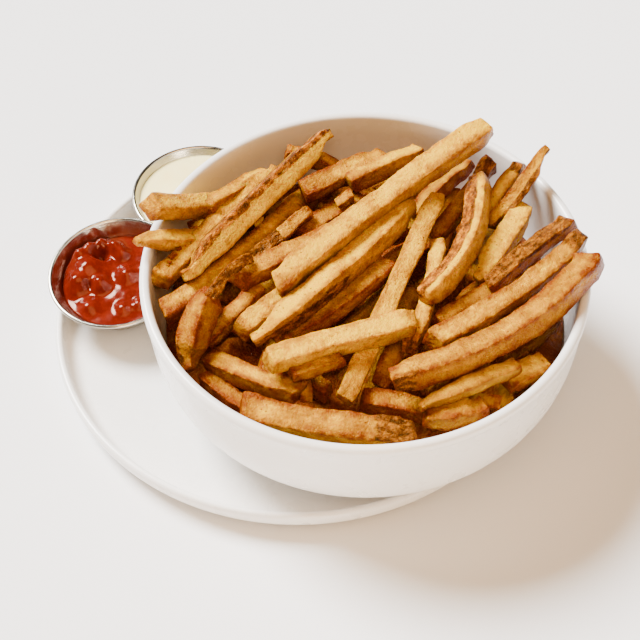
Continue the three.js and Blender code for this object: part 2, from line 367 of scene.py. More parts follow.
def ketchup_material(rgb):
    """Wet red sauce with brighter pulp."""
    shader = Shader("ketchup_red")
    place = shader.object_place()
    pulp = shader.noise(place, 240, detail=4, roughness=0.6)
    brighter = tinted(rgb, 1.5, 1.8, 1.5)
    shader.set(Base_Color=shader.mix(shader.remap(pulp, 0.42, 0.7), rgb, brighter))
    shader.set(Roughness=shader.remap(pulp, 0.3, 0.7, 0.1, 0.16))
    shader.set(Normal=shader.bump(pulp, 0.05, 0.0006))
    shader.set(Subsurface_Weight=0.1, Subsurface_Radius=(0.004, 0.001, 0.0005), Subsurface_Scale=1.0)
    shader.set(Specular_Tint=(1.0, 0.55, 0.4), Specular_IOR_Level=0.3)
    return shader.material


def potato_material(name, colours):
    """Fried potato: pale cut faces, browned edges and ends, speckled skin with painted shade in the hollows
    of its crinkle and painted highlights on its ridges, and tiny blisters.

    The attribute grain is a fry's own straight space, and marks holds its skin, browning and tone.
    """
    shader = Shader(name)
    grain = shader.attribute("grain").outputs["Vector"]
    marks = shader.add("ShaderNodeSeparateColor", {"Color": shader.attribute("marks").outputs["Color"]})
    skin, browning, tone = (marks.outputs[channel] for channel in ("Red", "Green", "Blue"))

    patches = shader.noise(shader.stretched(grain, (0.7, 1, 1)), 110, detail=3)
    mottle = shader.noise(grain, 360, detail=3, roughness=0.6)
    streaks = shader.noise(shader.stretched(grain, (0.12, 1, 1)), 620, detail=3)
    blisters = shader.noise(grain, 800, detail=3, roughness=0.65)
    shade = tone
    for pattern, low, change in ((patches, 0.34, 0.22), (mottle, 0.32, 0.15), (streaks, 0.3, 0.03)):
        shade = shader.math("ADD", shade, shader.remap(pattern, low, 1 - low, -change, change))
    ragged = shader.remap(shader.noise(grain, 300, detail=4), 0.35, 0.65, 0.3, 1.7)
    browned = shader.math("MULTIPLY", shader.math("MULTIPLY", browning, ragged), 0.6)
    shade = shader.math("ADD", shade, browned)
    cut_face = shader.ramp(
        shade,
        [
            (0.0, colours.pale),
            (0.28, colours.yellow),
            (0.52, colours.golden),
            (0.78, colours.browned),
            (1.0, colours.dark),
        ],
    )

    pits = shader.remap(shader.spots(grain, 460), 0.22, 0.1)
    few = shader.remap(shader.noise(grain, 150), 0.48, 0.56)
    speckled = shader.mix(shader.math("MULTIPLY", pits, few), cut_face, colours.dark)

    crinkle = shader.noise(shader.stretched(grain, (0.5, 1, 1)), 430, detail=5, roughness=0.7)
    # the skin follows the same crinkle that makes its bump: darker in its hollows as painted shade and
    # lighter on its ridges as painted highlight
    skin_colour_with_crinkle_light_and_shade = shader.ramp(
        crinkle,
        [
            (0.38, tinted(colours.skin, 0.3, 0.3, 0.3)),
            (0.5, colours.skin),
            (0.62, tinted(colours.skin, 2.7, 3.8, 1.5)),
        ],
    )
    skin_colour_with_crinkle_light_and_shade = shader.mix(1.0, skin_colour_with_crinkle_light_and_shade, shader.remap(tone, 0.08, 0.3, 1.6, 1.0), blend="MULTIPLY")
    torn = shader.noise(shader.stretched(grain, (0.35, 1, 1)), 420, detail=5, roughness=0.65)
    ragged_edge = shader.math("ADD", skin, shader.remap(torn, 0.3, 0.7, -0.35, 0.35))
    skinned = shader.remap(ragged_edge, 0.45, 0.65)
    shader.set(Base_Color=shader.mix(skinned, speckled, skin_colour_with_crinkle_light_and_shade))
    shader.set(Roughness=shader.remap(mottle, 0.3, 0.7, 0.2, 0.42))

    relief = shader.math("MULTIPLY", blisters, 1.7)
    rough_skin = shader.math("MULTIPLY", skinned, 1.6)
    for pattern, weight in ((mottle, 1.5), (streaks, 0.3), (crinkle, rough_skin)):
        relief = shader.math("ADD", relief, shader.math("MULTIPLY", pattern, weight))
    shader.set(Normal=shader.bump(relief, 0.7, 0.0009))
    shader.set(Subsurface_Weight=0.4, Subsurface_Radius=(0.003, 0.0012, 0.0003), Subsurface_Scale=1.0)
    shader.set(Specular_Tint=(1.0, 0.52, 0.1), Specular_IOR_Level=0.26)
    return shader.material


def floor_material(rgb):
    """Plain pale floor, barely mottled."""
    shader = Shader("pale_floor")
    cloud = shader.noise(shader.object_place(), 0.8)
    shader.set(Base_Color=shader.mix(cloud, tinted(rgb, 0.99, 0.99, 0.99), rgb))
    shader.set(Roughness=0.8)
    return shader.material


# ---------------------------------------------------------------- dishes


def plate_profile(sizes):
    """The plate from the middle of its underside, out round its rim and back over its floor."""
    edge, height, floor = PLATE_RADIUS, PLATE_HEIGHT, sizes.plate_floor
    inner = edge - sizes.plate_lip
    fillet = 0.0055
    top_round = sizes.plate_lip / 2
    profile = [(0, 0), (edge - 0.03, 0), (edge - 0.0225, 0.0001), (edge - 0.0215, 0.0002)]
    profile += arc((edge - 0.0125, 0.0125), 0.0125, 280, 345, 10)
    profile += [(edge, height - 0.003)]
    profile += arc((edge - top_round, height - top_round), top_round, 10, 170, 8)
    profile += arc((inner - fillet, floor + fillet), fillet, 0, -80, 8)
    profile += [(inner - fillet - 0.001, floor + 0.00005), (inner - 0.03, floor), (0, floor)]
    return profile


WALL_DEPTH = 0.066  # of the bowl's wall, from the rim down to its underside
WALL_FLARE = 0.05  # how much wider the wall gets for each metre up
WALL_POWER = 4.5  # of the curve that the wall follows, downwards: it is 4 outwards
FOOT_RADIUS = 0.049
FOOT_WIDTH = 0.005


def wall_point(step, sizes):
    """The outside of the bowl's wall: step runs from 0 at the rim to 1 at the axis."""
    turn = math.pi / 2 * step**1.6
    depth = WALL_DEPTH * math.sin(turn) ** (2 / WALL_POWER)
    radius = (BOWL_RADIUS - sizes.bowl_bead) * math.sqrt(max(0, math.cos(turn)))
    return Vector((max(0, radius - WALL_FLARE * depth), BOWL_RIM_HEIGHT - depth))


def inset_point(step, distance, sizes):
    """A point set in from the outside of the wall by a distance, square to the wall."""
    along = (wall_point(min(1, step + 0.01), sizes) - wall_point(max(0, step - 0.01), sizes)).normalized()
    here = wall_point(step, sizes)
    return max(0, here.x + along.y * distance), here.y - along.x * distance


def bowl_profile(sizes):
    """The bowl from the middle of its underside, round its foot ring, wall and rim, to its floor."""
    rim, wall, bead, band = BOWL_RIM_HEIGHT, sizes.bowl_wall, sizes.bowl_bead, sizes.bowl_bead_height
    steps = np.linspace(0.06, 0.86, 30)
    outside = [tuple(wall_point(step, sizes)) for step in steps]
    underside = outside[-1][1]
    foot = BOWL_FOOT_HEIGHT
    inner_foot = FOOT_RADIUS - FOOT_WIDTH
    profile = [(0, rim - WALL_DEPTH), (inner_foot - 0.002, underside - 0.0006), (inner_foot, foot + 0.001)]
    profile += [(inner_foot + 0.001, foot), (FOOT_RADIUS - 0.001, foot), (FOOT_RADIUS, foot + 0.001)]
    profile += [(FOOT_RADIUS + 0.0004, underside - 0.0004)]
    profile += outside[::-1]
    shoulder = BOWL_RADIUS - bead
    profile += [(shoulder - 0.0001, rim - band - 0.0006), (shoulder + 0.0001, rim - band)]
    profile += [(BOWL_RADIUS, rim - band + 0.0008), (BOWL_RADIUS, rim - 0.003)]
    top_round = (wall + bead) / 2
    profile += arc((BOWL_RADIUS - top_round, rim - top_round), top_round, 10, 170, 9)
    profile += [inset_point(step, wall, sizes) for step in steps]
    profile += [(inset_point(0.92, wall, sizes)[0], inset_point(0.95, wall, sizes)[1])]
    profile += [(0, inset_point(0.95, wall, sizes)[1])]
    return profile


CUP_BASE = 0.0214  # radius of a dip cup's foot
CUP_CORNER = 0.003
CUP_ROLL = 0.001  # radius of its rolled rim


def cup_profile(sizes):
    """A dip cup: thin slanting wall, rounded foot and a rolled rim."""
    wall, top = sizes.cup_wall, CUP_HEIGHT
    throat = CUP_RADIUS - 2 * CUP_ROLL
    profile = [(0, 0)] + arc((CUP_BASE - CUP_CORNER, CUP_CORNER), CUP_CORNER, -90, -10, 7)
    profile += [(throat + wall * 0.6, top - 2.2 * CUP_ROLL)]
    profile += arc((CUP_RADIUS - CUP_ROLL, top - CUP_ROLL), CUP_ROLL, -90, 180, 12)
    inner = CUP_CORNER - wall
    profile += arc((CUP_BASE - CUP_CORNER, CUP_CORNER), inner, -10, -90, 6)
    profile += [(0, wall)]
    return profile


def cup_inside(height, sizes):
    """The radius of a cup's inside at a height above its foot."""
    share = (height - CUP_CORNER) / (CUP_HEIGHT - CUP_ROLL - CUP_CORNER)
    low, high = CUP_BASE - sizes.cup_wall, CUP_RADIUS - 2 * CUP_ROLL
    return low + (high - low) * share


def dip_profile(level, crown, sizes):
    """A dip up to its level, with its edge just in the cup's wall and a domed top of fine rings."""
    bottom = sizes.cup_wall * 1.2
    edge = cup_inside(level, sizes) + sizes.cup_wall * 0.3
    profile = [(0, bottom), (CUP_BASE - CUP_CORNER, bottom), (CUP_BASE - sizes.cup_wall * 0.8, CUP_CORNER)]
    profile += [(edge, level)]
    profile += [(edge * share, level + crown * (1 - share**2)) for share in np.linspace(0.96, 0.0, 25)]
    return profile


class Dip(NamedTuple):
    """A dip above its cup's foot: its level at the edge, how much its middle stands above that, and
    the height from which the pushes on its top look for the nearest point."""

    level: float
    crown: float
    aim: float


MAYONNAISE = Dip(0.0172, 0.0005, 0.0175)
KETCHUP = Dip(0.0132, 0.0012, 0.0145)

# Pushes on the dips' tops: where, how far up, and how far round it reaches.
MAYONNAISE_STROKES = [
    ((0.008, -0.004), -0.0006, 0.008),
    ((-0.01, 0.006), 0.0005, 0.01),
    ((0.0, 0.012), -0.0004, 0.01),
]
KETCHUP_LUMPS = [
    ((-0.015, 0.008), 0.006, 0.016),
    ((-0.020, 0.014), 0.0045, 0.006),
    ((-0.015, 0.019), 0.0055, 0.006),
    ((-0.009, 0.021), 0.006, 0.006),
    ((-0.003, 0.019), 0.0055, 0.006),
    ((0.001, 0.015), 0.0033, 0.006),
    ((-0.0105, 0.0135), -0.006, 0.0055),
    ((-0.020, -0.002), 0.0045, 0.009),
    ((-0.0085, -0.0035), 0.0042, 0.007),
    ((-0.0145, -0.003), -0.0018, 0.003),
    ((0.004, 0.002), 0.003, 0.008),
    ((0.014, 0.006), 0.0023, 0.008),
    ((0.003, -0.017), 0.0024, 0.006),
    ((0.010, -0.015), 0.0021, 0.005),
    ((-0.014, -0.015), 0.0027, 0.008),
]


def dip_piece(name, dip, pushes, sizes):
    """A dip, upright over the origin, with its top pushed up and down here and there."""
    piece = spun(name, dip_profile(dip.level, dip.crown, sizes), steps=96)
    for centre, move, reach in pushes:
        push(piece, (*centre, dip.aim), (0, 0, move), reach)
    return piece


def lean_over(piece):
    """Tips a piece that was made upright over the origin, as the ketchup cup leans, and sets it down."""
    select_only(piece)
    piece.rotation_mode = "QUATERNION"
    piece.rotation_quaternion = Quaternion(KETCHUP_CUP_HINGE, KETCHUP_CUP_LEAN)
    piece.location = KETCHUP_CUP_FOOT
    apply_place(piece)


def stand_at(piece, middle, height):
    select_only(piece)
    piece.location = (middle.x, middle.y, height)
    apply_place(piece)


def push(piece, centre, move, reach):
    """Pushes the point of a surface that is nearest to a place, and what is round it, by a move."""
    select_only(piece)
    bpy.ops.object.mode_set(mode="EDIT")
    bpy.ops.mesh.select_all(action="DESELECT")
    mesh = bmesh.from_edit_mesh(piece.data)
    nearest = min(mesh.verts, key=lambda vertex: (vertex.co - Vector(centre)).length)
    nearest.select = True
    bmesh.update_edit_mesh(piece.data)
    bpy.ops.transform.translate(value=move, proportional_size=reach, **SOFT)
    bpy.ops.object.mode_set(mode="OBJECT")


# ---------------------------------------------------------------- the list of fries


class Skin(NamedTuple):
    """Potato skin left on a fry: the side it is on in degrees, 0 being left of the way the fry runs
    and 90 its top, how much of the length it covers, and how far it reaches round."""

    side: float
    first: float
    last: float
    reach: float


class Fry(NamedTuple):
    """A fry in millimetres, with how its ends are cut, its tone and its skin."""

    start: tuple
    end: tuple
    bow: tuple
    width: float
    height: float
    turn: float
    ends: str  # the cut of its start and of its end
    tone: float  # 0 is pale and 1 is dark
    skin: Skin = None


# The fries on top. Their places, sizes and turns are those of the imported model.
FRIES = [
    Fry((-39, -14, 80), (59, 68, 94), (0, 2, 0), 11, 11, 8, "slant round", 0.17),
    Fry((-80, -3, 74), (-14, 85, 74), (-2, -1, 0), 11, 11, 40, "point point", 0.04, Skin(22, 0, 1, 0.34)),
    Fry((-91, 0, 68), (-40, 70, 68), (0, 0, 0), 9, 9, 10, "knob point", 0.16),
    Fry((-101, 9, 84), (-64, 33, 57), (-1, -1, 2), 8, 7, 0, "point square", 0.12),
    Fry((-95, 26, 88), (-58, 56, 57), (3, 0, 0), 9, 9, 15, "knob square", 0.12),
    Fry((-71, 37, 74), (-44, 69, 64), (0, 0, 0), 8, 8, -10, "slant square", 0.26),
    Fry((-89, -17, 66), (-22, 65, 57), (-2, -9, 2), 9, 9, 5, "knob square", 0.36),
    Fry((-66, -16, 74), (-77, -43, 57), (-3, 1, 2), 12, 11, 30, "square point", 0.60, Skin(180, 0.6, 1, 0.5)),
    Fry((-56, -3, 71), (-6, 31, 68), (0, 0, 0), 10, 9, 0, "knob square", 0.58),
    Fry((-55, -29, 67), (-15, 10, 67), (0, 0, 0), 9, 9, 12, "square square", 0.25),
    Fry((-49, -41, 75), (22, 33, 80), (0, -4, 0), 11, 10, -12, "point round", 0.16, Skin(215, 0, 0.5, 0.45)),
    Fry((-39, -32, 66), (11, 5, 72), (-2, -6, 0), 10, 9, 0, "knob square", 0.60),
    Fry((-42, -55, 78), (20, -34, 75), (1, 1, 1), 10, 10, 6, "square square", 0.03),
    Fry((34, 39, 79), (-11, -66, 64), (0, -1, 0), 9, 9, -14, "round square", 0.09),
    Fry((53, 47, 82), (25, -23, 80), (7, -4, -1), 10, 9, 24, "round round", 0.20, Skin(150, 0, 1, 0.75)),
    Fry((33, 16, 72), (18, -45, 69), (2, -2, 3), 7, 7, 0, "square slant", 0.30, Skin(90, 0.86, 1, 1)),
    Fry((61, 61, 76), (31, 23, 66), (0, -1, -1), 8, 7, 0, "knob square", 0.50, Skin(90, 0, 0.2, 1)),
    Fry((51, 66, 72), (24, 39, 64), (-1, -1, 2), 7, 7, 20, "round square", 0.62),
    Fry((73, 57, 80), (43, 19, 62), (-2, -1, -6), 7, 7, 0, "round square", 0.34, Skin(90, 0, 0.08, 1)),
    Fry((85, 56, 90), (58, 29, 67), (0, -2, 0), 7, 7, -20, "point slant", 0.36, Skin(20, 0, 1, 0.45)),
    Fry((75, 36, 72), (49, -6, 71), (2, 3, 0), 10, 8, 0, "round point", 0.10),
    Fry((92, 21, 79), (53, -13, 75), (2, 2, 0), 8, 7, 10, "knob slant", 0.60, Skin(100, 0.04, 1, 0.8)),
    Fry((96, 8, 82), (27, -46, 77), (7, 1, -1), 9, 9, -8, "round knob", 0.42, Skin(80, 0, 0.1, 1)),
    Fry((98, -5, 83), (9, -64, 75), (10, -5, -2), 11, 11, 10, "knob round", 0.5, Skin(350, 0.93, 1, 0.7)),
    Fry((21, -74, 69), (64, -51, 68), (0, 0, 0), 7, 7, 0, "point square", 0.36),
    Fry((59, -56, 62), (77, -45, 62), (0, 0, 0), 10, 9, 12, "square square", 0.45),
    Fry((40, -60, 57), (56, -63, 56), (0, 0, 0), 7, 7, 30, "square square", 0.40),
    Fry((23, -74, 63), (49, -68, 62), (-3, -2, 0), 10, 9, 0, "round round", 0.46),
    Fry((-54, -71, 66), (19, -85, 66), (1, -3, 0), 12, 12, 14, "knob round", 0.46, Skin(60, 0.78, 1, 0.9)),
    Fry((-69, -35, 54), (-29, -62, 64), (0, -2, 1), 9, 9, 0, "square knob", 0.46),
    Fry((-29, -49, 68), (-27, -62, 59), (0, 0, 0), 6, 6, 0, "square square", 0.42),
    Fry((-71, -41, 50), (-50, -62, 50), (0, 0, 0), 8, 8, 0, "square square", 0.66),
    Fry((-3, -62, 60), (27, -68, 58), (0, 0, 0), 9, 8, 0, "square square", 0.68),
    Fry((19, -23, 67), (5, -54, 57), (0, 0, 0), 9, 8, 0, "square square", 0.80),
    Fry((-5, 54, 72), (29, 79, 67), (0, 0, 0), 8, 9, -10, "square square", 0.28),
    Fry((-27, 50, 71), (12, 77, 67), (0, 0, 0), 10, 9, 12, "square slant", 0.46),
    Fry((-11, 45, 67), (-4, 49, 69), (0, 0, 0), 5, 5, 0, "square square", 0.22),
    Fry((-53, 12, 65), (-24, 40, 68), (0, 0, 0), 6, 6, 20, "square square", 0.34, Skin(90, 0, 0.5, 0.8)),
    Fry((-35, 80, 67), (-4, 70, 58), (1, 1, 2), 7, 7, 0, "square square", 0.40),
    Fry((43, 57, 62), (35, 17, 61), (0, 0, 0), 9, 9, 0, "square square", 0.60),
    Fry((31, -29, 70), (69, -1, 70), (0, 0, 0), 7, 7, 10, "square square", 0.56),
    Fry((84, -18, 55), (53, -43, 60), (0, 0, 0), 9, 9, 0, "square square", 0.62),
    Fry((-80, 39, 57), (-52, 49, 55), (0, 0, 0), 8, 8, 0, "square square", 0.66),
    Fry((-29, 31, 62), (1, 55, 62), (0, 0, 0), 9, 8, 0, "square square", 0.60),
    Fry((-33, -58, 73), (-11, -50, 74), (0, 0, 0), 7, 6, 0, "square square", 0.58),
    Fry((-36, -42, 60), (-17, -56, 57), (0, 0, 0), 8, 8, 0, "square square", 0.66),
    Fry((-71, -30, 61), (-46, -2, 63), (0, 0, 0), 8, 8, 0, "square square", 0.66),
    Fry((49, -45, 70), (58, -14, 66), (0, 0, 0), 9, 9, 0, "square square", 0.60),
]

# A curl of crisp skin and a few crumbs, which lie on the fries.
SCRAPS = [
    Fry((-68, -20, 80), (-50, 4, 77), (-1, 1, 2), 5, 3, 35, "square square", 0.85, Skin(90, 0, 1, 0.7)),
    Fry((-87, 9, 73), (-84, 11, 74), (0, 0, 0), 3, 2, 0, "round round", 0.55),
    Fry((-84, 14, 73), (-82, 15, 73), (0, 0, 0), 2, 2, 20, "round round", 0.55),
    Fry((-88, 5, 72), (-87, 7, 73), (0, 0, 0), 2, 2, 10, "round round", 0.60),
]

# The level of the heap's middle, and how it falls outwards and towards the back left.
HEAP_TOP, HEAP_FALL, HEAP_DIP = 84, 0.0022, 0.0011
BURIED_TRIES, BURIED_SEED = 2500, 7919
CAGE_LENGTHS = (120, 75, 42)  # of the three cages that all fries are copied from
CAGE_WIDTH = 10
END_DOME = 0.0006  # how much longer a cage gets when the middles of its end faces are drawn out
FINE_SLICE, COARSE_SLICE = 2.2, 4.5  # length of a cage's slices, for fries on top and buried ones


def heap_level(x, y):
    """The level of the heap, lower towards the back left where the wall shows. All in millimetres."""
    back = max(0, 0.866 * y - 0.5 * x)
    return HEAP_TOP - HEAP_FALL * (x * x + y * y) - HEAP_DIP * back * back


def random_draws(seed):
    """The same row of numbers between 0 and 1 on every run."""
    state = seed
    while True:
        state = state * 16807 % 2147483647
        yield state / 2147483647


def middle_line(fry, count=13):
    """Points on the middle line of a fry, in millimetres."""
    start, end = np.array(fry.start, float), np.array(fry.end, float)
    control = (start + end) / 2 + 2 * np.array(fry.bow, float)
    t = np.linspace(0, 1, count)[:, None]
    return (1 - t) ** 2 * start + 2 * t * (1 - t) * control + t * t * end


def line_length(points):
    return float(np.linalg.norm(np.diff(points, axis=0), axis=1).sum())


def bowl_inside(height):
    """The inner radius of the bowl at a height above the table, in millimetres."""
    rim_radius, wall = 99.4, 4
    depth = min(max(0, BOWL_RIM_HEIGHT / MM - height), 65)
    curve = (1 - (depth * MM / WALL_DEPTH) ** WALL_POWER) ** 0.25
    return rim_radius * curve - WALL_FLARE * depth - wall


def buried_fries():
    """Fries between and under the ones on top: each lies where it is clear of those already there."""
    draw = random_draws(BURIED_SEED)
    lines = [middle_line(fry, 25) for fry in FRIES]
    thick = [max(fry.width, fry.height) for fry in FRIES]
    buried = []
    for _ in range(BURIED_TRIES):
        around, out = math.tau * next(draw), 90 * math.sqrt(next(draw))
        direction = math.radians(45 + 120 * (next(draw) - 0.5))
        half = 16 + 26 * next(draw)
        sunk = 9 + 27 * next(draw)
        width = 7.5 + 3 * next(draw)
        # buried fries are kept browner than most on top, as painted shade in the gaps between the fries
        tone = 0.5 + 0.3 * next(draw)
        middle = np.array((out * math.cos(around), out * math.sin(around)))
        heading = np.array((math.cos(direction), math.sin(direction)))
        ends = [middle + reach * heading for reach in (-half, half)]
        start, end = (tuple(point) + (heap_level(*point) - sunk,) for point in ends)
        bow = tuple(4 * (next(draw) - 0.5) for _ in range(3))
        fry = Fry(start, end, bow, width, width, 40 * (next(draw) - 0.5), "round slant", tone)
        line = middle_line(fry, 25)
        clear = all(
            np.linalg.norm(line[:, None] - other[None], axis=2).min() > 0.47 * (width + other_width)
            for other, other_width in zip(lines, thick)
        )
        in_bowl = all(math.hypot(x, y) + width * 0.55 + 1 < bowl_inside(z - width * 0.4) for x, y, z in line)
        if clear and in_bowl:
            buried.append(fry)
            lines.append(line)
            thick.append(width)
    return buried


# ---------------------------------------------------------------- modelling a fry


def select_by(piece, kind, test):
    """In edit mode, selects the edges or faces of a piece for which a test holds."""
    bpy.ops.mesh.select_all(action="DESELECT")
    bpy.ops.mesh.select_mode(type="EDGE" if kind == "edges" else "FACE")
    mesh = bmesh.from_edit_mesh(piece.data)
    for element in getattr(mesh, kind):
        element.select = test(element)
    bmesh.update_edit_mesh(piece.data)


def runs_lengthwise(edge):
    along = edge.verts[1].co - edge.verts[0].co
    return abs(along.x) > 0.9 * along.length


def is_corner(edge, half):
    return runs_lengthwise(edge) and all(min(abs(v.co.y), abs(v.co.z)) > 0.95 * half for v in edge.verts)


def fry_cage(millimetres, slice_length):
    """A straight bar with narrow rounded edges, cut into slices, which each fry is a copy of."""
    deselect_all()
    span, width = millimetres * MM, CAGE_WIDTH * MM
    bpy.ops.mesh.primitive_cube_add(size=1, location=(span / 2, 0, 0), scale=(span, width, width))
    cage = bpy.context.object
    cage.name = f"fry_cage_{millimetres}"
    apply_place(cage)
    bpy.ops.object.mode_set(mode="EDIT")
    if slice_length == FINE_SLICE:
        select_by(cage, "edges", lambda edge: not runs_lengthwise(edge))
        bpy.ops.mesh.subdivide(number_cuts=1)
    select_by(cage, "edges", lambda edge: is_corner(edge, width / 2))
    bpy.ops.mesh.bevel(offset=0.08 * width, segments=2, affect="EDGES")
    select_by(cage, "edges", runs_lengthwise)
    bpy.ops.mesh.subdivide(number_cuts=round(millimetres / slice_length))
    select_by(cage, "faces", lambda face: abs(face.normal.x) > 0.9)
    bpy.ops.mesh.inset(thickness=0.1 * width)
    bpy.ops.transform.resize(value=((span + END_DOME) / span, 1, 1), center_override=(span / 2, 0, 0))
    bpy.ops.object.mode_set(mode="OBJECT")
    return cage


def shape_end(piece, end_x, inwards, cut, sway, longest):
    """Shapes one end of a straight fry: pointed, round, knobby, cut aslant or nearly square.

    The longest reach keeps one end of a short fry clear of the other.
    """
    select_by(piece, "faces", lambda face: abs(face.calc_center_median().x - end_x) < 1.3 * MM)
    pivot = (end_x, 0, 0)
    size, reach = {
        "point": ((1, 0.45, 0.5), 0.022),
        "round": ((1, 0.74, 0.76), 0.007),
        "knob": ((1, 1.1, 1.08), 0.01),
    }.get(cut, ((1, 0.93, 0.93), 0.006))
    bpy.ops.transform.resize(value=size, center_override=pivot, proportional_size=min(reach, longest), **SOFT)
    turn = {"slant": 0.42, "point": 0.35, "knob": 0.28}.get(cut, 0.14)
    for value, axis, reach in ((turn * sway, "Z", 0.012), (0.22 * sway * inwards, "Y", 0.01)):
        reach = min(reach, longest)
        bpy.ops.transform.rotate(
            value=value, orient_axis=axis, center_override=pivot, proportional_size=reach, **SOFT
        )


PINCH_SPACING = 0.04  # one thinner or thicker place for each such length of a fry
PINCH_REACH = 0.018


def pinch(piece, x, share):
    """Makes a straight fry a little thinner or thicker round one place."""
    select_by(piece, "faces", lambda face: abs(face.calc_center_median().x - x) < 0.003)
    bpy.ops.transform.resize(
        value=(1, *share), center_override=(x, 0, 0), proportional_size=PINCH_REACH, **SOFT
    )


def smooth_step(low, high, values):
    share = np.clip((values - low) / (high - low), 0, 1)
    return share * share * (3 - 2 * share)


def corner_places(mesh):
    """The places of a mesh's corners, one row for each."""
    places = np.empty(len(mesh.vertices) * 3)
    mesh.vertices.foreach_get("co", places)
    return places.reshape(-1, 3)


def store_marks(mesh, grain, marks):
    """Stores, for each corner of a mesh, its place in its own straight space and its marks."""
    mesh.attributes.new("grain", "FLOAT_VECTOR", "POINT").data.foreach_set("vector", grain.ravel())
    mesh.attributes.new("marks", "FLOAT_COLOR", "POINT").data.foreach_set("color", marks.ravel())


def mark_fry(piece, fry, span, draw):
    """Stores a straight fry's own space, its marks (skin, browning and tone) and how rough its crust is."""
    places = corner_places(piece.data)
    x, y, z = places.T
    across, upright = 2 * y / (fry.width * MM), 2 * z / (fry.height * MM)
    reach = np.hypot(across, upright) + 1e-6
    corner = smooth_step(0.3, 1.0, np.abs(across * upright))
    from_end = np.minimum(x, span - x)
    browning = np.clip(corner * 0.7 + smooth_step(0.006, 0.0, from_end) * 0.7, 0, 1)
    browning *= min(1, 0.5 + 1.2 * fry.tone)
    skin = np.zeros(len(places))
    if fry.skin:
        side = math.radians(fry.skin.side)
        facing = (across * math.cos(side) + upright * math.sin(side)) / reach
        along = x / span
        inside = smooth_step(fry.skin.first - 0.05, fry.skin.first + 0.03, along)
        inside *= smooth_step(fry.skin.last + 0.05, fry.skin.last - 0.03, along)
        skin = inside * smooth_step(1 - fry.skin.reach - 0.25, 1 - fry.skin.reach + 0.25, facing)
    # each of the four faces has browned a little differently at random
    lean = [0.3 * (next(draw) - 0.5) for _ in range(4)]
    facings = (across / reach, -across / reach, upright / reach, -upright / reach)
    weights = [np.maximum(0, facing) for facing in facings]
    tone = fry.tone + sum(weight * change for weight, change in zip(weights, lean))
    # painted shade and light: the sides and most of all the underside are made darker, and the top paler, as
    # where less and more light falls
    tone += 0.13 * (weights[0] + weights[1]) + 0.25 * weights[3] - 0.14 * weights[2]
    marks = np.stack([skin, browning, np.clip(tone, 0, 1), np.ones(len(places))], 1)
    rough = np.clip(np.maximum(browning, skin), 0, 1)
    group = piece.vertex_groups.new(name="crust")
    for level in range(5):
        inside = np.flatnonzero(np.round(rough * 4) == level)
        group.add(inside.tolist(), 0.5 + 0.5 * level / 4, "REPLACE")
    shift = np.array([next(draw), next(draw), next(draw)])
    store_marks(piece.data, places + shift, marks)


def bend_along(piece, fry):
    """Bends a straight fry along its middle line with a Curve modifier."""
    deselect_all()
    bpy.ops.curve.primitive_bezier_curve_add(location=(0, 0, 0))
    rail = bpy.context.object
    rail.data.twist_mode = "Z_UP"
    rail.data.resolution_u = 16
    start, end = Vector(fry.start) * MM, Vector(fry.end) * MM
    control = (start + end) / 2 + 2 * MM * Vector(fry.bow)
    first, last = rail.data.splines[0].bezier_points
    for point in (first, last):
        point.handle_left_type = point.handle_right_type = "FREE"
        point.tilt = math.radians(fry.turn)
    first.co, last.co = start, end
    first.handle_right = start.lerp(control, 2 / 3)
    first.handle_left = start - (control - start) / 3
    last.handle_left = end.lerp(control, 2 / 3)
    last.handle_right = end - (control - end) / 3
    apply_modifier(piece, "CURVE", object=rail, deform_axis="POS_X")
    data = rail.data
    bpy.data.objects.remove(rail)
    bpy.data.curves.remove(data)


def make_fry(cages, fry, draw):
    """One fry: a copy of a cage at its size, with its ends shaped, marked and bent along its line."""
    span = line_length(middle_line(fry)) * MM
    cage = min(cages, key=lambda each: abs(each.dimensions.x - span))
    piece = cage.copy()
    piece.data = cage.data.copy()
    bpy.context.collection.objects.link(piece)
    piece.scale = (span / cage.dimensions.x, fry.width / CAGE_WIDTH, fry.height / CAGE_WIDTH)
    apply_place(piece)
    low = min(vertex.co.x for vertex in piece.data.vertices)
    high = max(vertex.co.x for vertex in piece.data.vertices)
    bpy.ops.object.mode_set(mode="EDIT")
    start_cut, end_cut = fry.ends.split()
    for end_x, inwards, cut in ((low, 1, start_cut), (high, -1, end_cut)):
        shape_end(piece, end_x, inwards, cut, 1 if next(draw) < 0.5 else -1, 0.3 * span)
    for _ in range(round(span / PINCH_SPACING)):
        share = [1 + 0.14 * (next(draw) - 0.6) for _ in range(2)]
        pinch(piece, low + (high - low) * (0.15 + 0.7 * next(draw)), share)
    bpy.ops.object.mode_set(mode="OBJECT")
    apply_modifier(piece, "SUBSURF", levels=1, render_levels=1)
    mark_fry(piece, fry, span, draw)
    bend_along(piece, fry)
    return piece


def cloud_texture(name, size, depth):
    texture = bpy.data.textures.new(name, "CLOUDS")
    texture.noise_scale = size
    texture.noise_depth = depth
    return texture


def roughen(piece, texture, strength, **settings):
    """Displaces a surface by a texture, as much inwards as outwards."""
    apply_modifier(piece, "DISPLACE", texture=texture, strength=strength, mid_level=0.5, **settings)


def roughen_top(piece, texture, strength, low, radius):
    """Moves what is above a level and within a radius of the axis up and down by a texture."""
    free = [v.index for v in piece.data.vertices if v.co.z > low and v.co.xy.length < radius]
    piece.vertex_groups.new(name="top").add(free, 1.0, "REPLACE")
    roughen(piece, texture, strength, vertex_group="top", direction="Z")


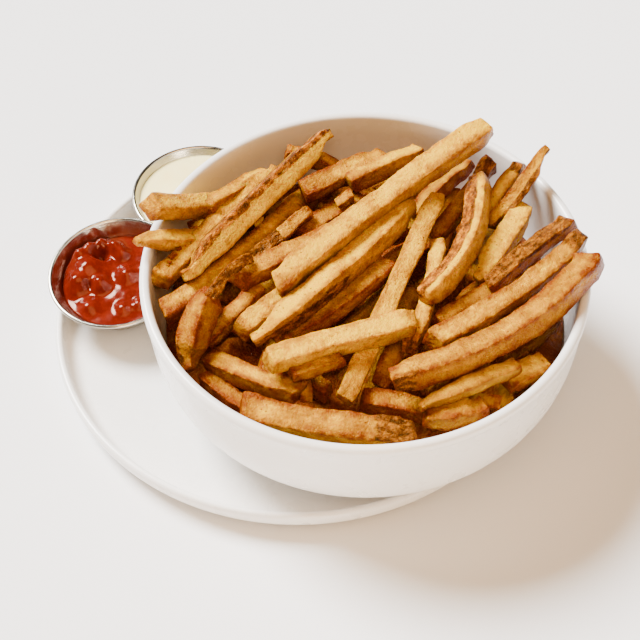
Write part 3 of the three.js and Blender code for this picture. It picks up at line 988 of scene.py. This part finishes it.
def fry_batch(name, fries, seed, sizes, slice_length, material):
    """All fries of one kind, joined into one piece and given the relief of their cut and crust."""
    draw = random_draws(seed)
    cages = [fry_cage(millimetres, slice_length) for millimetres in CAGE_LENGTHS]
    made = [make_fry(cages, fry, draw) for fry in fries]
    deselect_all()
    for cage in cages:
        bpy.data.objects.remove(cage)
    for each in made:
        each.select_set(True)
    bpy.context.view_layer.objects.active = made[0]
    bpy.ops.object.join()
    piece = bpy.context.object
    piece.name = name
    uneven = cloud_texture("uneven_cut", size=0.013, depth=1)
    crust = cloud_texture("crust_blisters", size=0.0032, depth=2)
    roughen(piece, uneven, sizes.fry_relief)
    roughen(piece, crust, sizes.crust_relief, vertex_group="crust")
    select_only(piece)
    bpy.ops.object.shade_smooth_by_angle(angle=math.radians(50))
    dress(piece, material, "fried_potato", "fries")
    return piece


# ---------------------------------------------------------------- operators


class SERVING_OT_plate(bpy.types.Operator):
    """Add the round plate with its upright rim"""

    bl_idname = "serving.plate"
    bl_label = "Plate"

    def execute(self, context):
        scene = context.scene
        plate = spun("dinner_plate", plate_profile(scene.serving_sizes), steps=128)
        stand_at(plate, PLATE_MIDDLE, 0)
        dress(plate, glaze_material("plate_glaze", scene.serving_colours.glaze), "plate_glaze", "plate")
        return {"FINISHED"}


class SERVING_OT_bowl(bpy.types.Operator):
    """Add the deep bowl with its rolled rim and foot ring"""

    bl_idname = "serving.bowl"
    bl_label = "Bowl"

    def execute(self, context):
        scene = context.scene
        bowl = spun("fries_bowl", bowl_profile(scene.serving_sizes), steps=160)
        dress(bowl, glaze_material("bowl_glaze", scene.serving_colours.glaze), "bowl_glaze", "bowl")
        return {"FINISHED"}


class SERVING_OT_dip_cups(bpy.types.Operator):
    """Add the two steel cups, one upright and one leaning on it"""

    bl_idname = "serving.dip_cups"
    bl_label = "Dip cups"

    def execute(self, context):
        scene = context.scene
        steel = steel_material(scene.serving_colours.steel)
        upright = spun("mayonnaise_pot", cup_profile(scene.serving_sizes), steps=96)
        leaning = upright.copy()
        leaning.data = upright.data.copy()
        leaning.name = "ketchup_pot"
        context.collection.objects.link(leaning)
        stand_at(upright, MAYO_CUP_MIDDLE, CUP_FOOT_HEIGHT)
        lean_over(leaning)
        dress(upright, steel, "steel", "mayo_cup")
        dress(leaning, steel, "steel", "ketchup_cup")
        return {"FINISHED"}


class SERVING_OT_mayonnaise(bpy.types.Operator):
    """Fill the upright cup with mayonnaise, nearly level and a little stirred"""

    bl_idname = "serving.mayonnaise"
    bl_label = "Mayonnaise"

    def execute(self, context):
        scene = context.scene
        dip = dip_piece("mayonnaise_dip", MAYONNAISE, MAYONNAISE_STROKES, scene.serving_sizes)
        stand_at(dip, MAYO_CUP_MIDDLE, CUP_FOOT_HEIGHT)
        dress(dip, mayonnaise_material(scene.serving_colours.mayonnaise), "mayonnaise", "mayo")
        return {"FINISHED"}


class SERVING_OT_ketchup(bpy.types.Operator):
    """Fill the leaning cup with ketchup, spooned in as a lumpy mound with a peak"""

    bl_idname = "serving.ketchup"
    bl_label = "Ketchup"

    def execute(self, context):
        scene = context.scene
        dip = dip_piece("ketchup_dip", KETCHUP, KETCHUP_LUMPS, scene.serving_sizes)
        lumps = cloud_texture("ketchup_lumps", size=0.009, depth=1)
        edge = cup_inside(KETCHUP.level, scene.serving_sizes) - 0.001
        roughen_top(dip, lumps, strength=0.0016, low=0.012, radius=edge)
        lean_over(dip)
        dress(dip, ketchup_material(scene.serving_colours.ketchup), "ketchup", "ketchup")
        return {"FINISHED"}


CORE_TOP = 0.05  # height of the core's middle above the table
CORE_GAP = 0.0012  # between the core and the bowl's inner wall


class SERVING_OT_heap_core(bpy.types.Operator):
    """Add the packed middle of the heap, dark as painted shade, which shows in deep gaps and by the wall"""

    bl_idname = "serving.heap_core"
    bl_label = "Core of the heap"

    def execute(self, context):
        scene = context.scene
        sizes = scene.serving_sizes
        inset = sizes.bowl_wall + CORE_GAP
        steps = np.linspace(0.84, 0.33, 16)
        profile = [(0, inset_point(steps[0], inset, sizes)[1])]
        profile += [inset_point(step, inset, sizes) for step in steps]
        edge_radius, edge_height = profile[-1]
        rise = CORE_TOP - edge_height
        for share in np.linspace(0.97, 0, 24):
            profile.append((edge_radius * share, edge_height + rise * (1 - share**4)))
        core = spun("heap_core", profile, steps=96)
        lumps = cloud_texture("core_lumps", size=0.014, depth=2)
        roughen_top(core, lumps, strength=0.016, low=edge_height, radius=edge_radius - 0.004)
        places = corner_places(core.data)
        # the core's marks (no skin, some browning and a dark tone) make it dark as painted shade in the deep
        # gaps
        store_marks(core.data, places, np.tile((0.0, 0.4, 0.75, 1.0), len(places)))
        dress(core, potato_material("packed_potato", scene.serving_colours), "fried_potato", "fries")
        return {"FINISHED"}


class SERVING_OT_fries(bpy.types.Operator):
    """Add the fries that lie on top, each at its own place, and those buried under them"""

    bl_idname = "serving.fries"
    bl_label = "Fries"

    def execute(self, context):
        scene = context.scene
        sizes, colours = scene.serving_sizes, scene.serving_colours
        potato = potato_material("fried_potato", colours)
        kinds = {
            "skin_on_fries": [fry for fry in FRIES if fry.skin],
            "pale_fries": [fry for fry in FRIES if not fry.skin and fry.tone < 0.35],
            "golden_fries": [fry for fry in FRIES if not fry.skin and fry.tone >= 0.35] + SCRAPS,
            "buried_fries": buried_fries(),
        }
        for seed, (name, fries) in enumerate(kinds.items(), start=11):
            slice_length = COARSE_SLICE if name == "buried_fries" else FINE_SLICE
            fry_batch(name, fries, seed, sizes, slice_length, potato)
        return {"FINISHED"}


FILL_PLACE = Vector((0.1, -1.3, 0.16))
LIFT_PLACE = Vector((0.1, -0.45, 1.3))


def area_light(name, place, size, watts, rgb):
    """A soft square light that shines on the origin."""
    deselect_all()
    bpy.ops.object.light_add(type="AREA", location=place)
    light = bpy.context.object
    light.name = name
    light.data.size = size
    light.data.energy = watts
    light.data.color = rgb
    light.rotation_euler = place.to_track_quat("Z", "Y").to_euler()


class SERVING_OT_stage(bpy.types.Operator):
    """Add the pale floor, the soft lights and the camera"""

    bl_idname = "serving.stage"
    bl_label = "Studio"

    def execute(self, context):
        scene = context.scene
        studio = scene.serving_studio
        deselect_all()
        bpy.ops.mesh.primitive_plane_add(size=12, location=(0, 0, -0.0002))
        floor = context.object
        floor.name = "floor"
        apply_place(floor)
        floor.data.materials.append(floor_material(scene.serving_colours.floor))

        heading, rise = studio.key_heading, studio.key_rise
        level = math.cos(rise)
        towards = Vector((math.cos(heading) * level, math.sin(heading) * level, math.sin(rise)))
        deselect_all()
        bpy.ops.object.light_add(type="SUN", location=towards * 2)
        key = bpy.context.object
        key.name = "key_light"
        key.data.energy = studio.key_strength
        key.data.angle = studio.key_softness
        key.rotation_euler = towards.to_track_quat("Z", "Y").to_euler()

        area_light("fill_light", FILL_PLACE, 0.6, studio.fill_power, (1.0, 0.7, 0.42))
        area_light("lift_light", LIFT_PLACE, 1.0, studio.lift_power, (1.0, 0.6, 0.28))

        world = bpy.data.worlds.new("studio_air")
        world.use_nodes = True
        air = world.node_tree.nodes["Background"]
        air.inputs["Color"].default_value = (1.0, 0.93, 0.84, 1.0)
        air.inputs["Strength"].default_value = studio.sky
        scene.world = world

        deselect_all()
        bpy.ops.object.camera_add()
        camera = context.object
        camera.name = "studio_camera"
        camera.data.lens = studio.lens
        camera.data.sensor_width = 36
        camera.data.dof.use_dof = False
        back = Vector((0, -math.cos(studio.pitch), math.sin(studio.pitch)))
        right = Vector((1, 0, 0))
        turned = Matrix((right, back.cross(right), back)).transposed()
        turned = turned @ Matrix.Rotation(studio.roll, 3, "Z")
        place = Vector(studio.target) + back * studio.distance
        camera.matrix_world = Matrix.Translation(place) @ turned.to_4x4()
        scene.camera = camera
        return {"FINISHED"}


# ---------------------------------------------------------------- panel and registering

OPERATORS = [
    SERVING_OT_plate,
    SERVING_OT_bowl,
    SERVING_OT_dip_cups,
    SERVING_OT_mayonnaise,
    SERVING_OT_ketchup,
    SERVING_OT_heap_core,
    SERVING_OT_fries,
    SERVING_OT_stage,
]


class SERVING_PT_panel(bpy.types.Panel):
    """The steps that make the serving, in order"""

    bl_idname = "SERVING_PT_panel"
    bl_label = "Fries Serving"
    bl_space_type = "VIEW_3D"
    bl_region_type = "UI"
    bl_category = "Serving"

    def draw(self, context):
        for operator in OPERATORS:
            self.layout.operator(operator.bl_idname)
        for setting in GROUPS:
            group = getattr(context.scene, setting)
            column = self.layout.column(align=True)
            for name in group.bl_rna.properties.keys():
                if name not in ("rna_type", "name"):
                    column.prop(group, name)


GROUPS = {"serving_sizes": ServingSizes, "serving_colours": ServingColours, "serving_studio": StudioSettings}


def register():
    for group in GROUPS.values():
        bpy.utils.register_class(group)
    for operator in OPERATORS:
        bpy.utils.register_class(operator)
    bpy.utils.register_class(SERVING_PT_panel)
    for name, group in GROUPS.items():
        setattr(bpy.types.Scene, name, bpy.props.PointerProperty(type=group))


def unregister():
    for name in GROUPS:
        delattr(bpy.types.Scene, name)
    bpy.utils.unregister_class(SERVING_PT_panel)
    for operator in reversed(OPERATORS):
        bpy.utils.unregister_class(operator)
    for group in reversed(GROUPS.values()):
        bpy.utils.unregister_class(group)


def main():
    register()
    for operator in OPERATORS:
        family, name = operator.bl_idname.split(".")
        getattr(getattr(bpy.ops, family), name)()


if __name__ == "__main__":
    main()
